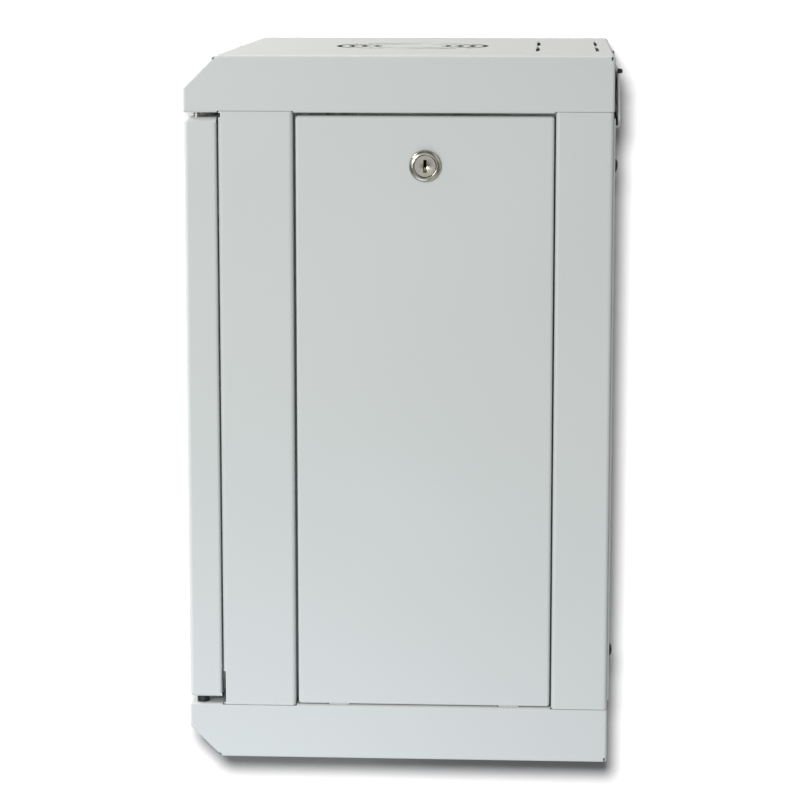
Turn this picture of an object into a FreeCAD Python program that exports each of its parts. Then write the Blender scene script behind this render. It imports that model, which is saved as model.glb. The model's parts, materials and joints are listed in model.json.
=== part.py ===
import FreeCAD
import Part

import math
import os

# Wall cabinet for 10-inch network equipment, folded from sheet steel.
# Width runs along X, depth along Y with the door towards -Y, height along Z.
# The origin is the middle of the footprint, on the surface the cabinet stands on.
# All sizes are in millimetres.

# Whole cabinet. Its width follows from the rack rails
cover_depth = 288.6
rack_units = 9
unit_height = 44.45
opening_spare = 10.25
flange_height = 37.1
chamfer = 21.5

# Sheet metal
sheet = 1.2
bend_inside = 0.6
fit_gap = 0.4
seat_gap = 0.3

# Cover details
top_fold_radius = 8.0
bottom_fold_radius = 1.8
side_lip_width = 12.0
notch_gap = 0.6
relief_width = 1.2
relief_length = 2.6
relief_inset = 1.9
relief_before_fold = 0.6
grille_rings = 4
grille_first_radius = 26.5
grille_pitch = 8.8
grille_slot = 3.5
grille_bridge = 7.0
grille_behind_middle = 2.0
entry_slot_length = 78.0
entry_slot_width = 2.6
entry_slot_spacing = 15.0
entry_slot_from_rear = 10.6
entry_slot_rows_apart = 41.4

# Posts
front_post_width = 50.2
rear_post_width = 38.4
post_bend_inside = 1.4
post_flange_start = 23.4
post_flange_end = 4.1
post_flange_cut = 1.6
rear_post_recess = 0.4
post_recess = 0.3
post_end_gap = 0.3
stop_flange = 10.0
stud_radius = 3.0
stud_length = 11.0
stud_inset = 4.3
stud_hole_radius = 3.3
nut_flats = 10.0
nut_height = 5.0
hole_play = 0.1

# Side panels
panel_recess = 0.2
panel_depth = 12.5
panel_front_gap = 1.9
panel_back_gap = 1.1
panel_top_gap = 3.2
panel_bottom_gap = 1.8
panel_corner_radius = 2.0
panel_edge_radius = 1.8
tongue_width = 14.0
tongue_length = 9.9
tongue_inset = 28.0
tongue_slot_width = 3.3
tongue_slot_play = 1.0
ledge_height = 12.0

# Door
door_recess = 0.3
door_depth = 21.95
door_post_gap = 1.2
door_side_recess = 0.4
door_top_gap = 4.4
door_bottom_gap = 5.25
door_corner_radius = 3.2
door_edge_radius = 3.0
door_lip = 12.0
door_rear_fold = 6.0
door_rear_relief = 2.4
door_frame_height = 22.0
window_radius = 8.0
door_stile_width = 44.475
glass_thickness = 4.0
glass_overlap = 8.0
glass_radius = 6.0
gasket_thickness = 0.8
gasket_width = 6.0
clip_width = 16.0
clip_thickness = 1.2
clip_lap = 6.0
clip_foot = 8.0
pad_radius = 4.0
pad_edge = 0.3
pad_from_door_end = 32.0

# Hinge
hinge_from_side = 6.6
hinge_from_front = 8.6
hinge_pin_radius = 2.0
hinge_play = 0.08
bush_radius = 4.15
lower_pin_reach = 6.0
pin_head_radius = 3.6
pin_head_height = 1.4
upper_pin_reach = 2.6
upper_pin_length = 38.0
hinge_bracket_drop = 24.0
hinge_bracket_width = 9.5
hinge_bracket_reach = 5.5
pin_end_bevel = 0.6
knob_radius = 4.0
knob_height = 4.0
knob_edge = 0.8
collar_radius = 3.6
collar_height = 1.6
spring_length = 15.0
spring_wire_radius = 0.45
spring_radius = 3.0
spring_turns = 5

# Cam locks
lock_rim_radius = 10.8
lock_rim_height = 3.0
lock_face_radius = 9.3
lock_barrel_radius = 9.2
lock_flat = 8.0
lock_hole_play = 0.2
lock_length = 16.0
lock_plug_radius = 7.5
lock_plug_depth = 4.0
lock_core_radius = 6.0
lock_play = 0.08
lock_dish_radius = 3.4
lock_dish_depth = 0.7
keyway_width = 2.3
keyway_height = 8.5
keyway_depth = 9.0
lock_nut_flats = 22.0
lock_nut_height = 4.0
cam_thickness = 2.0
cam_width = 16.0
side_cam_reach = 45.0
door_cam_reach = 19.5
door_cam_gap = 2.4
cam_stem_radius = 4.0
cam_screw_radius = 5.0
cam_screw_head = 2.6
cam_screw_shank = 2.0
side_lock_below_top = 33.1
side_lock_off_middle = 0.5

# Strike for the side locks
strike_width = 16.0
strike_weld_height = 20.0
strike_drop = 18.0

# Rack rails and depth bars
rack_hole_span = 236.525
rack_hole_pitch = 15.875
rack_hole_from_edge = 7.1375
rail_sheet = 1.5
rail_face_width = 20.8
rail_post_room = 10.975
rail_depth = 28.0
rail_lip = 8.0
rail_end_gap = 8.0
rail_behind_post_front = 20.8
rail_travel = 100.0
square_hole = 9.5
bar_height = 28.0
bar_gap = 0.1
bar_foot = 9.0
bar_end_gap = 2.5
lug_width = 24.0
bolt_height = 20.0
bolt_from_rail_front = 15.0
bolt_radius = 3.0
bolt_head_radius = 5.0
bolt_head_height = 4.0
bolt_length = 9.2
bolt_slot_play = 0.3

# Rear panel and wall bracket
rear_panel_top_gap = 4.7
rear_panel_bottom_gap = 6.8
rear_panel_side_gap = 1.5
rear_screw_radius = 4.5
rear_screw_height = 1.8
lower_screw_from_edge = 40.8
upper_screw_from_edge = 36.0
rear_screw_from_side = 10.0
rear_screw_shank = 2.0
wall_hole_radius = 3.5
wall_hole_span = 200.0
wall_hole_height = 70.0
bracket_sheet = 1.5
bracket_gap = 1.7
bracket_lean = 0.8
bracket_below_top = 11.8
bracket_height = 36.1
bracket_from_side = 7.0
bracket_hole_radius = 3.25
bracket_hole_drop = 16.7
access_hole_radius = 7.0
hook_width = 30.0
hook_rise = 5.4
hook_behind_panel = 0.8
hook_slot_drop = 7.4
buffer_length = 12.0
buffer_height = 2.6
buffer_reach = 1.0
buffer_corner = 0.7

# Places across the width, from the rack rails outwards
rail_edge = rack_hole_span / 2.0 - rack_hole_from_edge
rail_side = rail_edge + rail_face_width
bar_face = rail_side + bar_gap
post_edge = rail_side + rail_post_room
panel_face = post_edge + fit_gap + panel_depth
half_width = panel_face + panel_recess
flange_face = half_width - sheet
post_face = half_width - post_recess
post_end_face = flange_face - bend_inside
stud_x = post_edge + stud_inset
door_side = half_width - door_side_recess
window_edge = door_side - door_stile_width
pad_x = (post_edge + post_face - post_bend_inside - sheet) / 2.0
bracket_end = half_width - bracket_from_side
hinge_x = half_width - hinge_from_side
door_lock_x = -(door_side + window_edge) / 2.0

# Places along the depth
front_reach = lock_rim_height - door_recess
rear_reach = bracket_gap + bracket_sheet + bracket_lean + buffer_reach
cover_front = front_reach - (front_reach + cover_depth + rear_reach) / 2.0
cover_rear = cover_front + cover_depth
door_front = cover_front + door_recess
door_back = door_front + door_depth
front_post_front = door_back + door_post_gap
front_post_back = front_post_front + front_post_width
header_back = front_post_front - notch_gap
rear_post_back = cover_rear - rear_post_recess
rear_post_front = rear_post_back - rear_post_width
panel_front = front_post_back + panel_front_gap
panel_back = rear_post_front - panel_back_gap
front_stud_y = (front_post_front + front_post_back) / 2.0
rear_stud_y = (rear_post_front + rear_post_back) / 2.0
side_lock_y = (panel_front + panel_back) / 2.0 + side_lock_off_middle
hinge_y = cover_front + hinge_from_front
rail_front = front_post_front + rail_behind_post_front
rail_bolt_y = rail_front + bolt_from_rail_front
rear_panel_back = rear_post_back + sheet

# Places up the height
cabinet_height = rack_units * unit_height + opening_spare + 2 * flange_height
lower_edge = flange_height
upper_edge = cabinet_height - flange_height
middle_height = cabinet_height / 2.0
door_bottom = lower_edge + door_bottom_gap
door_top = upper_edge - door_top_gap
panel_bottom = lower_edge + panel_bottom_gap
panel_top = upper_edge - panel_top_gap
side_lock_z = panel_top - side_lock_below_top
first_unit = middle_height - rack_units * unit_height / 2.0
bracket_top = cabinet_height - bracket_below_top
bracket_bottom = bracket_top - bracket_height
bracket_hole_height = bracket_top - bracket_hole_drop


# Shapes that many pieces share

def block(x0, x1, y0, y1, z0, z1):
    """Box between two opposite corners."""
    return Part.makeBox(x1 - x0, y1 - y0, z1 - z0, FreeCAD.Vector(x0, y0, z0))


def rod(radius, start, end):
    """Round bar from one point to another."""
    start = FreeCAD.Vector(*start)
    axis = FreeCAD.Vector(*end) - start
    return Part.makeCylinder(radius, axis.Length, start, axis)


def edges_at(shape, **places):
    """Edges that lie wholly at the given coordinates, such as x=10."""
    chosen = []
    for edge in shape.Edges:
        box = edge.BoundBox
        spans = {"x": (box.XMin, box.XMax), "y": (box.YMin, box.YMax), "z": (box.ZMin, box.ZMax)}
        if all(abs(end - value) < 1e-4 for axis, value in places.items() for end in spans[axis]):
            chosen.append(edge)
    return chosen


def mirror_x(shape):
    """The same piece on the other side of the cabinet."""
    return shape.mirror(FreeCAD.Vector(0, 0, 0), FreeCAD.Vector(1, 0, 0))


def mirror_z(shape):
    """The same piece at the other end of the height."""
    return shape.mirror(FreeCAD.Vector(0, 0, middle_height), FreeCAD.Vector(0, 0, 1))


def joined(shapes):
    """One solid from pieces that touch or overlap."""
    result = shapes[0]
    for shape in shapes[1:]:
        result = result.fuse(shape)
    return result.removeSplitter()


def group(shapes):
    """Separate solids of one kind, kept together."""
    solids = []
    for shape in shapes:
        solids.extend(shape.Solids)
    return Part.makeCompound(solids)


def to_space(plane, point):
    """A point of a flat drawing, put in the plane that its name gives."""
    u, v = point
    places = {"XY": (u, v, 0.0), "XZ": (u, 0.0, v), "YZ": (0.0, u, v)}
    return FreeCAD.Vector(*places[plane])


def extruded(face, plane, low, high):
    """Solid from a flat face, between two places along the third axis."""
    axes = {"XY": (0, 0, 1), "XZ": (0, 1, 0), "YZ": (1, 0, 0)}
    axis = FreeCAD.Vector(*axes[plane])
    start = face.copy()
    start.translate(axis * low)
    return start.extrude(axis * (high - low))


def polygon_face(points, plane):
    """Flat face with straight sides."""
    corners = [to_space(plane, point) for point in points]
    return Part.Face(Part.makePolygon(corners + corners[:1]))


def direction(start, end):
    """Unit direction from one drawing point to the next."""
    length = math.hypot(end[0] - start[0], end[1] - start[1])
    return ((end[0] - start[0]) / length, (end[1] - start[1]) / length)


def shifted_path(points, distance):
    """A bent line pushed to its left, with its corners kept square."""
    lines = [direction(a, b) for a, b in zip(points, points[1:])]
    shifted = []
    for index, (u, v) in enumerate(points):
        before = lines[max(index - 1, 0)]
        after = lines[min(index, len(lines) - 1)]
        spread = 1.0 + before[0] * after[0] + before[1] * after[1]
        push_u = -(before[1] + after[1]) * distance / spread
        push_v = (before[0] + after[0]) * distance / spread
        shifted.append((u + push_u, v + push_v))
    return shifted


def rounded_path(points, plane, left_radius, right_radius):
    """Lines through the points, with an arc at each bend."""
    edges = []
    start = points[0]
    for before, corner, after in zip(points, points[1:], points[2:]):
        into = direction(before, corner)
        out = direction(corner, after)
        cross = into[0] * out[1] - into[1] * out[0]
        radius = left_radius if cross > 0 else right_radius
        half_turn = math.atan2(abs(cross), into[0] * out[0] + into[1] * out[1]) / 2.0
        run = radius * math.tan(half_turn)
        towards = direction(into, out)
        sagitta = radius * (1.0 / math.cos(half_turn) - 1.0)
        arc_start = (corner[0] - into[0] * run, corner[1] - into[1] * run)
        arc_middle = (corner[0] + towards[0] * sagitta, corner[1] + towards[1] * sagitta)
        arc_end = (corner[0] + out[0] * run, corner[1] + out[1] * run)
        edges.append(Part.makeLine(to_space(plane, start), to_space(plane, arc_start)))
        arc_points = [to_space(plane, p) for p in (arc_start, arc_middle, arc_end)]
        edges.append(Part.Arc(*arc_points).toShape())
        start = arc_end
    edges.append(Part.makeLine(to_space(plane, start), to_space(plane, points[-1])))
    return edges


def folded(points, plane, low, high, thickness=sheet, inner=bend_inside):
    """Folded strip: its section follows the points, with the metal on their left."""
    left = shifted_path(points, thickness)
    outer = inner + thickness
    edges = rounded_path(points, plane, outer, inner)
    edges += rounded_path(left, plane, inner, outer)
    edges.append(Part.makeLine(to_space(plane, points[0]), to_space(plane, left[0])))
    edges.append(Part.makeLine(to_space(plane, points[-1]), to_space(plane, left[-1])))
    face = Part.Face(Part.Wire(Part.__sortEdges__(edges)))
    return extruded(face, plane, low, high)


def slot(plane, centre, length, width, low, high, along=(1.0, 0.0)):
    """Round-ended slot, along the first axis of its plane or the direction given."""
    reach = length / 2.0 - width / 2.0
    across = (-along[1], along[0])
    radius = width / 2.0

    def place(a, b):
        u = centre[0] + along[0] * a + across[0] * b
        v = centre[1] + along[1] * a + across[1] * b
        return to_space(plane, (u, v))

    edges = [
        Part.makeLine(place(-reach, radius), place(reach, radius)),
        Part.Arc(place(reach, radius), place(reach + radius, 0), place(reach, -radius)).toShape(),
        Part.makeLine(place(reach, -radius), place(-reach, -radius)),
        Part.Arc(place(-reach, -radius), place(-reach - radius, 0), place(-reach, radius)).toShape(),
    ]
    return extruded(Part.Face(Part.Wire(edges)), plane, low, high)


def hexagon(flats, height):
    """Hexagonal prism standing on the origin, its axis along Z."""
    radius = flats / math.sqrt(3.0)
    turns = [math.radians(60 * corner) for corner in range(6)]
    corners = [(radius * math.cos(turn), radius * math.sin(turn)) for turn in turns]
    return extruded(polygon_face(corners, "XY"), "XY", 0.0, height)


def nut(flats, height, bore_radius):
    """Hexagon nut with its upper corners turned off, its axis along Z."""
    turned = Part.makeCone(flats / 2.0 + height, flats / 2.0 - 0.2, height + 0.4)
    body = hexagon(flats, height).common(turned)
    return body.cut(Part.makeCylinder(bore_radius, height + 1.0, FreeCAD.Vector(0, 0, -0.5)))


def turned(points):
    """Round piece about Z from its half outline, a list of radius and height."""
    outline = polygon_face(points, "XZ")
    return outline.revolve(FreeCAD.Vector(0, 0, 0), FreeCAD.Vector(0, 0, 1), 360)


def pan_head(radius, height):
    """Low domed screw head on the origin, rising along Z."""
    return turned([(0, 0), (radius, 0), (radius, height * 0.4), (radius * 0.9, height * 0.8),
                   (radius * 0.7, height), (0, height)])


def moved(shape, centre, turn):
    """The piece turned about the origin and then moved to its place."""
    result = shape.copy()
    result.Placement = FreeCAD.Placement(FreeCAD.Vector(*centre), turn).multiply(shape.Placement)
    return result


def placed(shape, centre, axis):
    """A piece modelled about Z, turned to an axis and moved to its place."""
    turn = FreeCAD.Rotation(FreeCAD.Vector(0, 0, 1), FreeCAD.Vector(*axis))
    return moved(shape, centre, turn)


# Top and bottom covers

def cover_profile(inset, low, fold):
    """Side view of the cover, pushed in by a distance, its upper fold rounded to a radius."""
    front = cover_front + inset
    back = cover_rear - inset
    top = cabinet_height - inset
    slope = chamfer + inset * (math.sqrt(2.0) - 1.0)
    slope_foot = (front, cabinet_height - slope)
    radius = fold - inset
    outline = rounded_path([slope_foot, (cover_front + slope, top), (back, top)], "YZ", radius, radius)
    straight = [to_space("YZ", point) for point in ((back, top), (back, low), (front, low), slope_foot)]
    outline += Part.makePolygon(straight).Edges
    return Part.Face(Part.Wire(Part.__sortEdges__(outline)))


def cover_body(inset, low, fold, round_below):
    """Block with the cover's outline, its edges rounded, the lower ones only where asked."""
    side = half_width - inset
    body = extruded(cover_profile(inset, low, fold), "YZ", -side, side)
    fold_ends = (cover_front + 2 * sheet, cover_rear - 2 * sheet)
    sharp = []
    for edge in body.Edges:
        box = edge.BoundBox
        on_fold = box.YMin > fold_ends[0] and box.YMax < fold_ends[1] and box.XLength > side
        if not on_fold and (round_below or box.ZMax > low + sheet / 2.0):
            sharp.append(edge)
    return body.makeFillet(sheet + bend_inside - inset, sharp)


def grille_arc(radius, middle_angle, span):
    """One curved slot of the fan grille, cut down through the top."""
    half_slot = grille_slot / 2.0
    centre = (0.0, (cover_front + cover_rear) / 2.0 + grille_behind_middle)

    def at(distance, angle):
        u = centre[0] + distance * math.cos(angle)
        v = centre[1] + distance * math.sin(angle)
        return to_space("XY", (u, v))

    first = middle_angle - span / 2.0
    last = middle_angle + span / 2.0
    end_turn = half_slot / radius
    outer = radius + half_slot
    inner = radius - half_slot
    edges = [
        Part.Arc(at(outer, first), at(outer, middle_angle), at(outer, last)).toShape(),
        Part.Arc(at(outer, last), at(radius, last + end_turn), at(inner, last)).toShape(),
        Part.Arc(at(inner, last), at(inner, middle_angle), at(inner, first)).toShape(),
        Part.Arc(at(inner, first), at(radius, first - end_turn), at(outer, first)).toShape(),
    ]
    face = Part.Face(Part.Wire(edges))
    return extruded(face, "XY", cabinet_height - 2 * sheet, cabinet_height + sheet)


def grille_slots():
    """Rings of curved slots, four to a ring, with diagonal bridges between them."""
    slots = []
    for ring in range(grille_rings):
        radius = grille_first_radius + ring * grille_pitch
        span = math.pi / 2.0 - (grille_bridge + grille_slot) / radius
        for quarter in range(4):
            slots.append(grille_arc(radius, quarter * math.pi / 2.0, span))
    return slots


def entry_slots():
    """Two rows of two thin slots that mark the cable entry at the rear."""
    low = cabinet_height - 2 * sheet
    high = cabinet_height + sheet
    middle = (entry_slot_length + entry_slot_spacing) / 2.0
    slots = []
    for y in (cover_rear - entry_slot_from_rear, cover_rear - entry_slot_from_rear - entry_slot_rows_apart):
        for x in (-middle, middle):
            slots.append(slot("XY", (x, y), entry_slot_length, entry_slot_width, low, high))
    return slots


def relief_slits():
    """Small slits through the side flanges where two folds meet."""
    height = cabinet_height - relief_inset
    slope = math.sqrt(0.5)
    fold = cover_front + chamfer - relief_before_fold
    slits = []
    for low, high in ((flange_face - sheet, half_width + sheet), (-half_width - sheet, sheet - flange_face)):
        slits.append(slot("YZ", (fold, height), relief_length, relief_width, low, high, (slope, slope)))
        slits.append(slot("YZ", (cover_rear - relief_inset, height), relief_length, relief_width,
                          low, high, (0.0, 1.0)))
    return slits


def cover(fold):
    """Cover as both ends share it, drawn at the top: tray with lips, notched round the posts."""
    lip_low = upper_edge - sheet
    tray = cover_body(0.0, lip_low, fold, True).cut(cover_body(sheet, upper_edge, fold, True))
    lip_edge = half_width - side_lip_width
    tray = tray.cut(block(-lip_edge, lip_edge, header_back, cover_rear, lip_low - sheet, upper_edge + sheet))
    plain = cover_body(0.0, upper_edge, fold, False).cut(cover_body(sheet, lip_low, fold, False))
    pieces = []
    places = ((header_back, front_post_back + notch_gap), (rear_post_front - notch_gap, cover_rear + sheet))
    for start, end in places:
        notch = block(-half_width - sheet, half_width + sheet, start, end, lip_low - sheet, upper_edge + sheet)
        tray = tray.cut(notch)
        pieces.append(plain.common(notch))
    hinge_hole = rod(hinge_pin_radius + hinge_play, (hinge_x, hinge_y, lip_low - sheet),
                     (hinge_x, hinge_y, upper_edge + sheet))
    return joined([tray] + pieces).cut([hinge_hole] + entry_slots() + relief_slits())


def top_cover():
    """Cover with the fan grille and the holes that give a screwdriver room at the rear."""
    holes = grille_slots()
    for x in (-wall_hole_span / 2.0, wall_hole_span / 2.0):
        start = (x, cover_rear - 2 * sheet, bracket_hole_height)
        holes.append(rod(access_hole_radius, start, (x, cover_rear + sheet, bracket_hole_height)))
    return cover(top_fold_radius).cut(holes)


def tongue_places():
    """Middles of the side panel's two tongues, along the depth."""
    return (panel_front + tongue_inset, panel_back - tongue_inset)


def bottom_cover():
    """The same tray turned over, with slots in its lips for the tongues of the side panels."""
    half = tongue_width / 2.0 + tongue_slot_play
    slots = []
    for y in tongue_places():
        hole = block(flange_face - tongue_slot_width, flange_face, y - half, y + half,
                     lower_edge - sheet, lower_edge + 2 * sheet)
        slots += [hole, mirror_x(hole)]
    return mirror_z(cover(bottom_fold_radius)).cut(slots)


# Posts

def post(front, back, stop_at_back):
    """Folded channel between the covers, its ends stepped in behind their flanges."""
    edge = back if stop_at_back else front
    turn = 1 if stop_at_back else -1
    low = lower_edge + post_end_gap
    high = upper_edge - post_end_gap
    channel = [(post_edge, front), (post_face, front), (post_face, back), (post_edge, back)]
    section = list(channel)
    if stop_at_back:
        section.append((post_edge, edge + turn * stop_flange))
    else:
        section.insert(0, (post_edge, edge + turn * stop_flange))
    body = folded(section, "XY", low, high, inner=post_bend_inside)
    end_back = min(back, cover_rear - sheet - bend_inside)
    end_section = [(post_edge, front), (post_end_face, front), (post_end_face, end_back), (post_edge, end_back)]
    full = folded(end_section, "XY", sheet, cabinet_height - sheet, inner=post_bend_inside)
    middle = block(0, half_width, cover_front, cover_rear, low + sheet, high - sheet)
    ends = full.cut(middle)
    stud_y = (front + back) / 2.0
    foot = block(post_edge, post_end_face - sheet / 2.0, front + sheet / 2.0, end_back - sheet / 2.0,
                 sheet, 2 * sheet)
    foot = foot.cut(rod(stud_hole_radius, (stud_x, stud_y, 0), (stud_x, stud_y, 3 * sheet)))
    return joined([body, ends, foot, mirror_z(foot)])


def front_post():
    """Post beside the door, its front flange cut away near both ends and under the top fold."""
    body = post(front_post_front, front_post_back, True)
    low = lower_edge + post_end_gap
    high = upper_edge - post_end_gap
    cut_back = front_post_front + post_flange_cut
    cuts = []
    for start, end in ((low + sheet, low + post_flange_start), (high - post_flange_end, high - sheet)):
        cuts.append(block(0, half_width, cover_front, cut_back, start, end))
    under_fold = cabinet_height - 2 * sheet
    cuts.append(block(0, half_width, cover_front, cut_back, under_fold, cabinet_height))
    return body.cut(cuts)


def rear_post():
    """Post at the wall side, with the threaded holes for the rear panel's screws."""
    body = post(rear_post_front, rear_post_back, False)
    for z in rear_screw_heights():
        start = (rear_screw_x(), rear_post_back - 2 * sheet, z)
        body = body.cut(rod(rear_screw_shank + hole_play, start, (rear_screw_x(), rear_post_back + sheet, z)))
    return body


# Studs and nuts that hold the posts and the depth bars

def stud_places():
    """Centres of the four studs of one cover."""
    return [(side * stud_x, y) for side in (-1, 1) for y in (front_stud_y, rear_stud_y)]


def frame_studs():
    """Studs welded to the inside of both covers."""
    lower = [rod(stud_radius, (x, y, sheet), (x, y, sheet + stud_length)) for x, y in stud_places()]
    return group(lower + [mirror_z(stud) for stud in lower])


def frame_nuts():
    """Nuts on those studs, above the foot of the post and the lug of the bar."""
    piece = nut(nut_flats, nut_height, stud_radius + hole_play)
    lower = [placed(piece, (x, y, 3 * sheet), (0, 0, 1)) for x, y in stud_places()]
    return group(lower + [mirror_z(item) for item in lower])


# Depth bars and rack rails

def depth_bar():
    """Angle under the rail, with a long slot, held at each end by a lug under a nut."""
    start = front_post_front + bar_end_gap
    end = rear_post_back - bar_end_gap
    low = 2 * sheet
    outer = post_edge - fit_gap
    section = [(bar_face, low + bar_height), (bar_face, low), (outer, low)]
    bar = folded(section, "XZ", start, end)
    lugs = []
    for y in (front_stud_y, rear_stud_y):
        lug = block(outer - sheet, stud_x + nut_flats / 2.0, y - lug_width / 2.0, y + lug_width / 2.0,
                    low, low + sheet)
        lugs.append(lug)
    bar = joined([bar] + lugs)
    slot_width = 2 * (bolt_radius + bolt_slot_play)
    slot_middle = rail_bolt_y + rail_travel / 2.0
    holes = [slot("YZ", (slot_middle, bolt_height), rail_travel + 2 * slot_width, slot_width,
                  bar_face - sheet, bar_face + 2 * sheet)]
    for y in (front_stud_y, rear_stud_y):
        holes.append(rod(stud_hole_radius, (stud_x, y, 0), (stud_x, y, low + 2 * sheet)))
    return bar.cut(holes)


def square_hole_heights():
    """Three square holes in each rack unit, at the standard spacing."""
    heights = []
    for unit in range(rack_units):
        middle = first_unit + (unit + 0.5) * unit_height
        heights += [middle - rack_hole_pitch, middle, middle + rack_hole_pitch]
    return heights


def rack_rail():
    """Folded rail with the square holes that take cage nuts."""
    section = [
        (rail_edge, rail_front + rail_lip),
        (rail_edge, rail_front),
        (rail_side, rail_front),
        (rail_side, rail_front + rail_depth),
    ]
    rail = folded(section, "XY", rail_end_gap, cabinet_height - rail_end_gap, rail_sheet)
    middle = rack_hole_span / 2.0
    half = square_hole / 2.0
    holes = []
    for z in square_hole_heights():
        holes.append(block(middle - half, middle + half, rail_front - rail_sheet,
                           rail_front + 2 * rail_sheet, z - half, z + half))
    for z in (bolt_height, cabinet_height - bolt_height):
        holes.append(rod(bolt_radius + hole_play, (rail_side - 2 * rail_sheet, rail_bolt_y, z),
                         (rail_side + rail_sheet, rail_bolt_y, z)))
    return rail.cut(holes)


def rail_bolts():
    """Round-headed bolts that clamp one rail to its two depth bars."""
    inner = rail_side - rail_sheet
    shank = rod(bolt_radius, (0, 0, 0), (0, 0, bolt_length))
    head = placed(pan_head(bolt_head_radius, bolt_head_height), (0, 0, 0), (0, 0, -1))
    bolt = joined([shank, head])
    lower = placed(bolt, (inner, rail_bolt_y, bolt_height), (1, 0, 0))
    return group([lower, mirror_z(lower)])


def rail_nuts():
    """Nuts of those bolts, on the outer face of the bars."""
    piece = nut(nut_flats, nut_height, bolt_radius + hole_play)
    lower = placed(piece, (bar_face + sheet + bar_gap, rail_bolt_y, bolt_height), (1, 0, 0))
    return group([lower, mirror_z(lower)])


# Cam locks, drawn about Z with the sheet's outer face at zero and the cabinet's inside below

def barrel(radius, flat, low, high):
    """Round barrel with a flat on two sides, or the hole that takes it."""
    body = Part.makeCylinder(radius, high - low, FreeCAD.Vector(0, 0, low))
    return body.common(block(-flat, flat, -radius, radius, low, high))


def lock_housing():
    """Turned housing: bevelled rim outside, flattened barrel through the sheet."""
    rim = turned([
        (lock_plug_radius + lock_play, 0.0),
        (lock_rim_radius, 0.0),
        (lock_rim_radius, lock_rim_height * 0.3),
        (lock_face_radius, lock_rim_height),
        (lock_plug_radius + 0.7, lock_rim_height),
        (lock_plug_radius + lock_play, lock_rim_height - 0.5),
    ])
    body = barrel(lock_barrel_radius, lock_flat, -lock_length, 0.5)
    wide = Part.makeCylinder(lock_plug_radius + lock_play, lock_plug_depth + 1.0,
                             FreeCAD.Vector(0, 0, -lock_plug_depth))
    narrow = Part.makeCylinder(lock_core_radius + lock_play, lock_length + 2.0,
                               FreeCAD.Vector(0, 0, -lock_length - 1.0))
    return joined([rim, body.cut([wide, narrow])])


def lock_plug(stem):
    """Turned plug with a dished face, a keyway and the stem that carries the cam."""
    face_height = lock_rim_height - 0.4
    end = -lock_length - seat_gap
    body = turned([
        (0.0, face_height - lock_dish_depth),
        (lock_dish_radius - 0.8, face_height - lock_dish_depth),
        (lock_dish_radius, face_height),
        (lock_plug_radius - 0.4, face_height),
        (lock_plug_radius, face_height - 0.4),
        (lock_plug_radius, -lock_plug_depth + lock_play),
        (lock_core_radius, -lock_plug_depth + lock_play),
        (lock_core_radius, end),
        (cam_stem_radius, end),
        (cam_stem_radius, end - stem - cam_thickness),
        (cam_screw_shank, end - stem - cam_thickness),
        (cam_screw_shank, end - stem - cam_thickness + 5.0),
        (0.0, end - stem - cam_thickness + 5.0),
    ])
    keyway = block(-keyway_width / 2.0, keyway_width / 2.0, -keyway_height / 2.0, keyway_height / 2.0,
                   face_height - keyway_depth, face_height + 1.0)
    return body.cut(keyway)


def lock_nut():
    """Hexagon nut behind the sheet."""
    piece = nut(lock_nut_flats, lock_nut_height, lock_barrel_radius + hole_play)
    return placed(piece, (0, 0, -sheet), (0, 0, -1))


def lock_cam(stem, reach, turn):
    """Flat cam with a round end, at -Y of the lock and then turned about its axis."""
    top = -lock_length - seat_gap - stem
    half = cam_width / 2.0
    plate = slot("XY", (0, (half - reach) / 2.0), reach + half, cam_width,
                 top - cam_thickness, top, (0.0, 1.0))
    hole = Part.makeCylinder(cam_stem_radius, 3 * cam_thickness,
                             FreeCAD.Vector(0, 0, top - 2 * cam_thickness))
    return moved(plate.cut(hole), (0, 0, 0), FreeCAD.Rotation(FreeCAD.Vector(0, 0, 1), turn))


def lock_screw(stem):
    """Screw that holds the cam on the stem."""
    top = -lock_length - seat_gap - stem - cam_thickness
    head = placed(pan_head(cam_screw_radius, cam_screw_head), (0, 0, top), (0, 0, -1))
    shank = Part.makeCylinder(cam_screw_shank, 4.0, FreeCAD.Vector(0, 0, top))
    return joined([head, shank])


def lock_hole():
    """Hole in a sheet for the lock's barrel."""
    return barrel(lock_barrel_radius + lock_hole_play, lock_flat + lock_hole_play, -2 * sheet, sheet)


def in_door(shape):
    """A lock piece put in its place in the door."""
    turn = FreeCAD.Rotation(FreeCAD.Vector(1, 0, 0), 90)
    return moved(shape, (door_lock_x, door_front, middle_height), turn)


def in_side(shape):
    """A lock piece put in its place in the right side panel."""
    turn = FreeCAD.Rotation(FreeCAD.Vector(0, 1, 0), FreeCAD.Vector(0, 0, 1), FreeCAD.Vector(1, 0, 0), "ZXY")
    return moved(shape, (panel_face, side_lock_y, side_lock_z), turn)


door_stem = (front_post_front + sheet + door_cam_gap) - (door_front + lock_length + seat_gap)
side_stem = 1.0
side_cam_outer = panel_face - lock_length - seat_gap - side_stem


# Door

def door_box(inset, corner, edge):
    """Block of the door's size, pushed in all round, rounded at its front."""
    side = door_side - inset
    box = block(-side, side, door_front + inset, door_back, door_bottom + inset, door_top - inset)
    corners = []
    for z in (door_bottom + inset, door_top - inset):
        corners += edges_at(box, x=side, z=z) + edges_at(box, x=-side, z=z)
    box = box.makeFillet(corner, corners)
    return box.makeFillet(edge, edges_at(box, y=door_front + inset))


def window_slab(margin, radius, y0, y1):
    """Slab with round corners, as large as the window and a margin."""
    x = window_edge + margin
    low = door_bottom + door_frame_height - margin
    high = door_top - door_frame_height + margin
    slab = block(-x, x, y0, y1, low, high)
    corners = []
    for z in (low, high):
        corners += edges_at(slab, x=x, z=z) + edges_at(slab, x=-x, z=z)
    return slab.makeFillet(radius, corners)


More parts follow.
